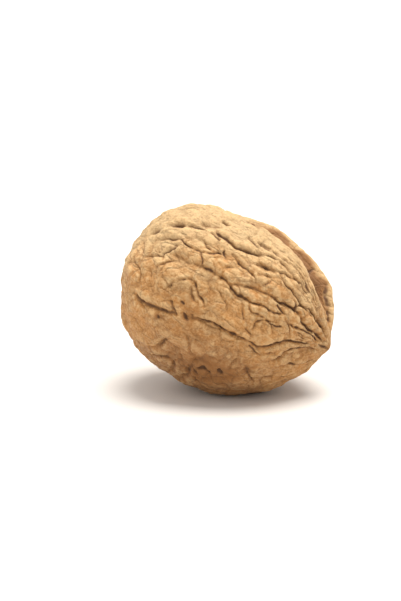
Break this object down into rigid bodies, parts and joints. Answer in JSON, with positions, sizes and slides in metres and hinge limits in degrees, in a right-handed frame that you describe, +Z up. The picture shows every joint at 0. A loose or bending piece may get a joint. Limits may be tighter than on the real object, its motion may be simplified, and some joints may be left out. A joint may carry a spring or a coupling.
{
  "type": "walnut",
  "caption": "Whole dried walnut in its furrowed tan shell, with a raised seam rim and a short pointed tip, lying on its side on a small flat spot.",
  "frame": {"origin": "on the surface the nut rests on, under the middle of its bounding box", "axes": "+X along the length towards the pointed tip, which also points a little down; -Y towards the near cheek; +Z up"},
  "size_m": [0.0412, 0.0348, 0.0356],
  "materials": {
    "walnut_shell": "matt dry shell, pale tan on the ridges and brown in the furrows"
  },
  "bodies": {
    "root": {"walnut": "walnut_shell"}
  },
  "joints": []
}
